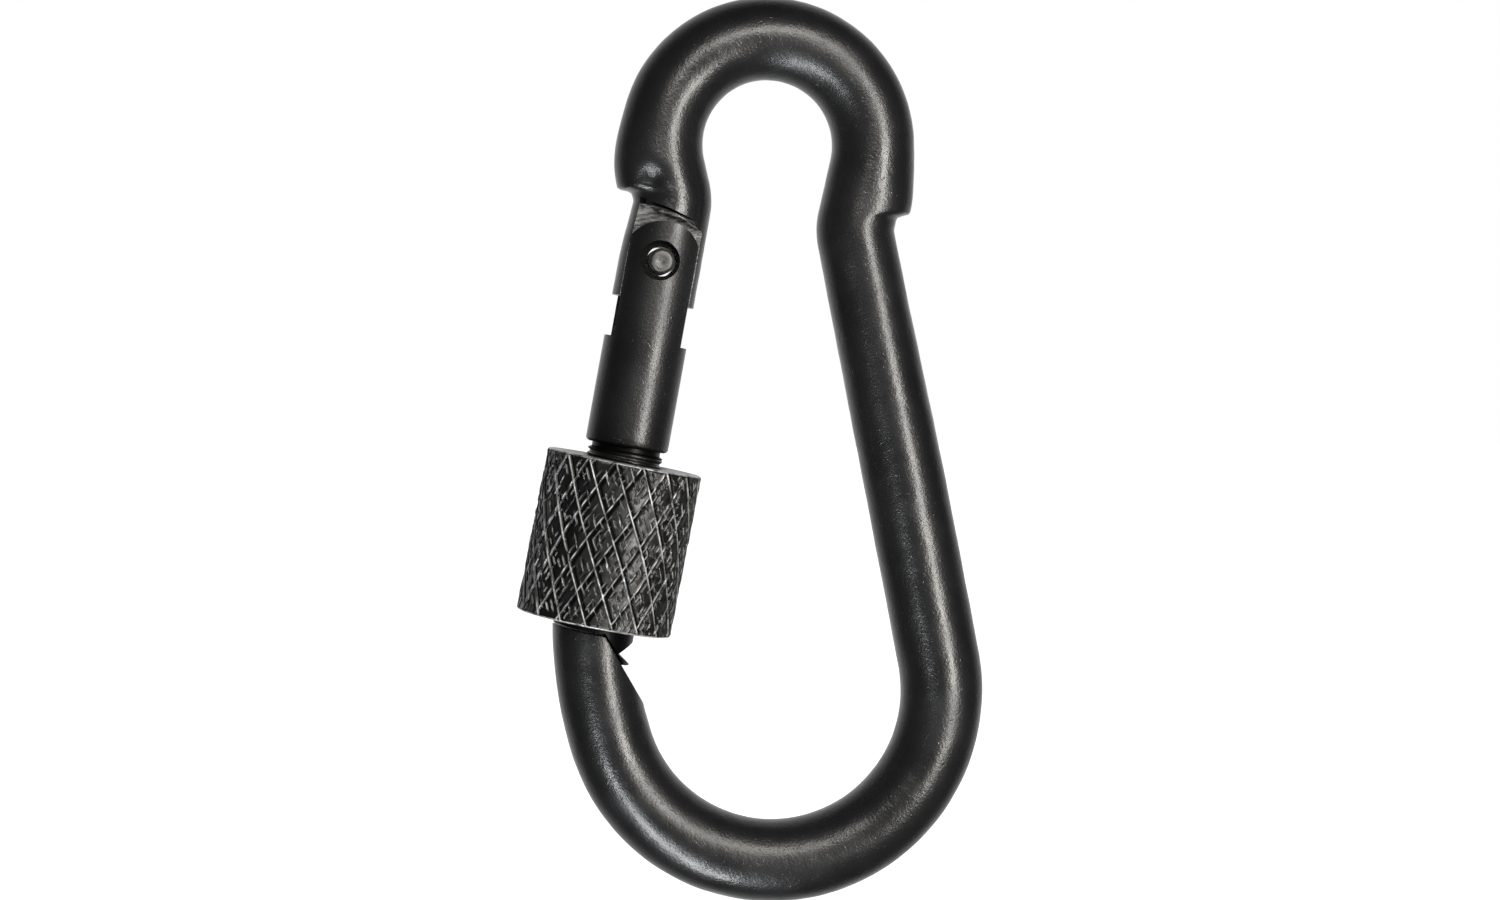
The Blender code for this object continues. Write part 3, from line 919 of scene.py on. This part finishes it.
def add_bump(nodes, links, height, strength, distance, normal=None):
    bump = nodes.new("ShaderNodeBump")
    bump.inputs["Strength"].default_value = strength
    bump.inputs["Distance"].default_value = distance * MM
    links.new(height, bump.inputs["Height"])
    if normal is not None:
        links.new(normal, bump.inputs["Normal"])
    return bump.outputs["Normal"]


def object_coordinates(nodes):
    return nodes.new("ShaderNodeTexCoord").outputs["Object"]


def multiply(nodes, links, first, second):
    product = nodes.new("ShaderNodeMath")
    product.operation = "MULTIPLY"
    links.new(first, product.inputs[0])
    links.new(second, product.inputs[1])
    return product.outputs[0]


def stored(nodes, name):
    """A value stored on the mesh."""
    reader = nodes.new("ShaderNodeAttribute")
    reader.attribute_name = name
    return reader.outputs["Fac"]


def stretched(nodes, links, coordinates, scales):
    """Coordinates scaled apart, so that a noise drawn on them forms streaks."""
    mapping = nodes.new("ShaderNodeMapping")
    mapping.inputs["Scale"].default_value = scales
    links.new(coordinates, mapping.inputs["Vector"])
    return mapping.outputs["Vector"]


def coated_steel(name, colour, roughness):
    """Satin black coating on steel: fine grain, soft clouding, sheared faces, worn cut edges that double as
    painted edge highlights, and painted shade on the faces marked for it.
    """
    material, nodes, links, shader = shader_of(name)
    coordinates = object_coordinates(nodes)
    clouds = add_noise(nodes, links, coordinates, 130, 4)
    grain = add_noise(nodes, links, coordinates, 3000, 2, 0.6)
    specks = map_range(nodes, links, add_noise(nodes, links, coordinates, 1700, 1), 0.68, 0.76, 0.0, 1.0)
    lighter = tuple(1.9 * part for part in colour)
    base = mix_colour(nodes, links, clouds, colour, lighter)
    streaks = add_noise(nodes, links, stretched(nodes, links, coordinates, (1.0, 1.0, 5.0)), 650, 5, 0.7)
    streak_light = map_range(nodes, links, streaks, 0.44, 0.62, 0.0, 1.0)
    torn = mix_colour(nodes, links, streak_light, TORN_DARK, TORN_BRIGHT)
    base = mix_colour(nodes, links, stored(nodes, "sheared"), base, torn)
    patches = map_range(nodes, links, add_noise(nodes, links, coordinates, 500, 3), 0.4, 0.6, 0.25, 1.0)
    # Worn cut edges, broken into patches: bare steel that is also a painted edge highlight
    wear_and_glint = multiply(nodes, links, stored(nodes, "worn_and_edge_highlight"), patches)
    base = mix_colour(nodes, links, wear_and_glint, base, WORN_STEEL_AND_EDGE_HIGHLIGHT)
    # Painted shade: faces marked for it turn near black
    base = mix_colour(nodes, links, stored(nodes, "painted_shade"), base, COAT_BLACK_AND_PAINTED_SHADE)
    links.new(base, shader.inputs["Base Color"])
    rough = map_range(nodes, links, clouds, 0.3, 0.7, roughness - 0.05, roughness + 0.06)
    links.new(rough, shader.inputs["Roughness"])
    # Painted shade also takes away most of the reflection on those faces
    shine = map_range(nodes, links, stored(nodes, "painted_shade"), 0.0, 1.0, 0.5, 0.08)
    links.new(shine, shader.inputs["Specular IOR Level"])
    shader.inputs["IOR"].default_value = 1.62
    fine = add_bump(nodes, links, grain, 1.0, 0.034)
    speckled = add_bump(nodes, links, specks, 0.6, 0.03, fine)
    tears = multiply(nodes, links, streaks, stored(nodes, "sheared"))
    links.new(add_bump(nodes, links, tears, 1.0, 0.25, speckled), shader.inputs["Normal"])
    return material


def knurled_coat():
    """The same coating, rubbed bright on the crests of the knurl and on the rims; the bright crests and rims
    also stand in for painted glints.
    """
    material, nodes, links, shader = shader_of("sleeve_coat")
    coordinates = object_coordinates(nodes)
    scratch = add_noise(nodes, links, coordinates, 900, 4)
    # Crests and rims rubbed bright, a painted glint as well as wear
    rubbed_and_glinting = map_range(nodes, links, stored(nodes, "crest"), 0.25, 0.7, 0.0, 1.0)
    broken = map_range(nodes, links, scratch, 0.36, 0.6, 0.1, 1.0)
    wear_and_glint = multiply(nodes, links, rubbed_and_glinting, broken)
    base = mix_colour(nodes, links, wear_and_glint, COAT_BLACK_AND_PAINTED_SHADE, RUBBED_STEEL_AND_GLINT)
    links.new(map_range(nodes, links, wear_and_glint, 0.0, 1.0, 0.0, 0.6), shader.inputs["Metallic"])
    shine = map_range(nodes, links, stored(nodes, "crest"), -0.7, 0.3, 0.05, 0.75)
    links.new(shine, shader.inputs["Specular IOR Level"])
    links.new(base, shader.inputs["Base Color"])
    rough = map_range(nodes, links, scratch, 0.3, 0.7, 0.28, 0.46)
    links.new(rough, shader.inputs["Roughness"])
    shader.inputs["IOR"].default_value = 1.6
    streaks = add_noise(nodes, links, stretched(nodes, links, coordinates, (4.0, 4.0, 1.0)), 700, 5, 0.7)
    grain = add_noise(nodes, links, coordinates, 2400, 3)
    rough_normal = add_bump(nodes, links, streaks, 0.5, 0.05)
    links.new(add_bump(nodes, links, grain, 0.4, 0.03, rough_normal), shader.inputs["Normal"])
    return material


def bright_steel(name, colour, roughness):
    material, nodes, links, shader = shader_of(name)
    coordinates = object_coordinates(nodes)
    clouds = add_noise(nodes, links, coordinates, 1500, 4)
    darker = tuple(0.55 * part for part in colour)
    base = mix_colour(nodes, links, clouds, darker, colour)
    links.new(base, shader.inputs["Base Color"])
    shader.inputs["Metallic"].default_value = 0.9
    rough = map_range(nodes, links, clouds, 0.3, 0.7, roughness - 0.08, roughness + 0.1)
    links.new(rough, shader.inputs["Roughness"])
    links.new(add_bump(nodes, links, clouds, 0.3, 0.03), shader.inputs["Normal"])
    return material


# ---------------------------------------------------------------- inner pieces


def make_spring(material):
    """The closing spring, round wire along a helix, built at a single length; in the real hook the plunger
    presses it shorter as the gate opens.
    """
    builder = bmesh.new()
    steps = SPRING_TURNS * SPRING_TURN_STEPS
    length = SPRING_BOTTOM - SPRING_TOP
    rings = []
    for step in range(steps + 1):
        angle = 2 * math.pi * step / SPRING_TURN_STEPS
        outward = Vector((math.cos(angle), math.sin(angle), 0.0))
        depth = SPRING_TOP + SPRING_WIRE + (length - 2 * SPRING_WIRE) * step / steps
        centre = outward * SPRING_COIL - Vector((0.0, 0.0, depth))
        ring = []
        for side in range(SPRING_WIRE_SIDES):
            around = 2 * math.pi * side / SPRING_WIRE_SIDES
            across = outward * math.cos(around) + Vector((0.0, 0.0, math.sin(around)))
            ring.append(builder.verts.new(centre + SPRING_WIRE * across))
        rings.append(ring)
    join_rings(builder, rings)
    builder.faces.new(rings[0])
    builder.faces.new(rings[-1])
    spring = new_object("closing_spring", builder, gate_matrix())
    finish_surface(spring, material, 50.0)
    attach(spring, "gate")
    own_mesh(spring)
    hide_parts("gate_spring")
    return spring


def dress_inner_nodes():
    """The plunger and the ring keep their CAD meshes and get a better finish."""
    finishes = {
        "plunger": bright_steel("plunger_ground", (0.42, 0.42, 0.43), 0.3),
        "sleeve_retaining_ring": bright_steel("ring_spring_steel", (0.4, 0.4, 0.41), 0.32),
    }
    for node, material in finishes.items():
        mesh = frame["nodes"][node].data
        mesh.materials.clear()
        mesh.materials.append(material)
        mesh.shade_smooth()
        mesh.set_sharp_from_angle(angle=math.radians(35))


# ---------------------------------------------------------------- studio


VIEW_AZIMUTH = -5.0
VIEW_ELEVATION = 1.2
VIEW_DISTANCE = 480.0
VIEW_TARGET = Vector((-2.3, 0.0, -48.85))
FRAME_WIDTH = 198.7

LIGHT_DISTANCE = 0.55
WARM = (1.0, 0.97, 0.91)
COOL = (0.95, 0.98, 1.0)
FLOOR_HALF = 3.0
FLOOR_DROP = 0.0002

WORLD_EDGE = (0.25, 0.95)
WORLD_FRONT = 0.03
WORLD_BACK = 1.0
FLOOR_GLOW = 1.0


def make_camera():
    azimuth = math.radians(VIEW_AZIMUTH)
    elevation = math.radians(VIEW_ELEVATION)
    flat = math.cos(elevation)
    away = Vector((math.sin(azimuth) * flat, -math.cos(azimuth) * flat, math.sin(elevation)))
    data = bpy.data.cameras.new("camera")
    data.sensor_width = 36.0
    data.lens = data.sensor_width * VIEW_DISTANCE / FRAME_WIDTH
    data.clip_start = 0.01
    camera = bpy.data.objects.new("camera", data)
    camera.location = (VIEW_TARGET + away * VIEW_DISTANCE) * MM
    camera.rotation_euler = (-away).to_track_quat("-Z", "Y").to_euler()
    bpy.context.scene.collection.objects.link(camera)
    bpy.context.scene.camera = camera


def toward(across, up):
    """A light's place seen from the object, in a direction given by its slopes from the camera side."""
    direction = Vector((across, -1.0, up)).normalized()
    return VIEW_TARGET * MM + direction * LIGHT_DISTANCE


def add_strip(name, start, end, width, power, colour):
    """A rectangular soft light between two directions, facing the object."""
    first = toward(*start)
    last = toward(*end)
    place = (first + last) / 2
    data = bpy.data.lights.new(name, "AREA")
    data.shape = "RECTANGLE"
    data.size = width
    data.size_y = (last - first).length
    data.energy = power
    data.color = colour
    light = bpy.data.objects.new(name, data)
    back = (place - VIEW_TARGET * MM).normalized()
    along = (last - first).normalized()
    along = (along - back * along.dot(back)).normalized()
    side = along.cross(back)
    light.matrix_world = Matrix.Translation(place) @ Matrix((side, along, back)).transposed().to_4x4()
    bpy.context.scene.collection.objects.link(light)


def make_floor():
    """A white sweep under the hook that neither lights nor shades it."""
    material, nodes, links, shader = shader_of("floor_white")
    shader.inputs["Base Color"].default_value = (0.93, 0.93, 0.93, 1.0)
    shader.inputs["Roughness"].default_value = 0.9
    shader.inputs["Emission Color"].default_value = (1.0, 1.0, 1.0, 1.0)
    shader.inputs["Emission Strength"].default_value = FLOOR_GLOW
    builder = bmesh.new()
    level = CAD_BOX[0][2] - FLOOR_DROP
    corners = ((-1, -1), (1, -1), (1, 1), (-1, 1))
    builder.faces.new([builder.verts.new((x * FLOOR_HALF, y * FLOOR_HALF, level)) for x, y in corners])
    mesh = bpy.data.meshes.new("studio_floor")
    builder.to_mesh(mesh)
    builder.free()
    floor = bpy.data.objects.new("studio_floor", mesh)
    mesh.materials.append(material)
    bpy.context.scene.collection.objects.link(floor)
    floor.visible_diffuse = False
    floor.visible_glossy = False
    floor.visible_shadow = False


def make_world():
    """White to the camera. As light, it is bright behind the hook and dim on the viewer's side."""
    world = bpy.data.worlds.new("studio")
    world.use_nodes = True
    nodes = world.node_tree.nodes
    links = world.node_tree.links
    background = nodes["Background"]
    direction = nodes.new("ShaderNodeTexCoord").outputs["Generated"]
    parts = nodes.new("ShaderNodeSeparateXYZ")
    links.new(direction, parts.inputs[0])
    glow = map_range(nodes, links, parts.outputs["Y"], WORLD_EDGE[0], WORLD_EDGE[1], WORLD_FRONT, WORLD_BACK)
    path = nodes.new("ShaderNodeLightPath")
    strength = nodes.new("ShaderNodeMath")
    strength.operation = "MAXIMUM"
    links.new(glow, strength.inputs[0])
    links.new(path.outputs["Is Camera Ray"], strength.inputs[1])
    background.inputs["Color"].default_value = (1.0, 1.0, 1.0, 1.0)
    links.new(strength.outputs[0], background.inputs["Strength"])
    bpy.context.scene.world = world


def make_studio():
    make_world()
    bpy.context.scene.view_settings.view_transform = "Standard"
    add_strip("key_strip", (0.58, -0.38), (0.58, 0.36), width=0.08, power=2.1, colour=WARM)
    add_strip("top_strip", (-0.2, 0.45), (0.55, 0.62), width=0.11, power=1.35, colour=WARM)
    add_strip("low_strip", (-0.6, -0.5), (-0.38, -2.7), width=0.065, power=2.15, colour=COOL)


def main():
    hook_black = coated_steel("hook_coat", HOOK_BLACK, HOOK_ROUGHNESS)
    gate_black = coated_steel("gate_coat", GATE_BLACK, GATE_ROUGHNESS)
    make_hook_body(hook_black)
    make_gate_bar(gate_black)
    make_rivet(bright_steel("rivet_face", RIVET_GREY, RIVET_ROUGHNESS))
    make_sleeve(knurled_coat())
    make_spring(bright_steel("spring_wire", SPRING_GREY, SPRING_ROUGHNESS))
    dress_inner_nodes()
    make_camera()
    make_floor()
    make_studio()


main()
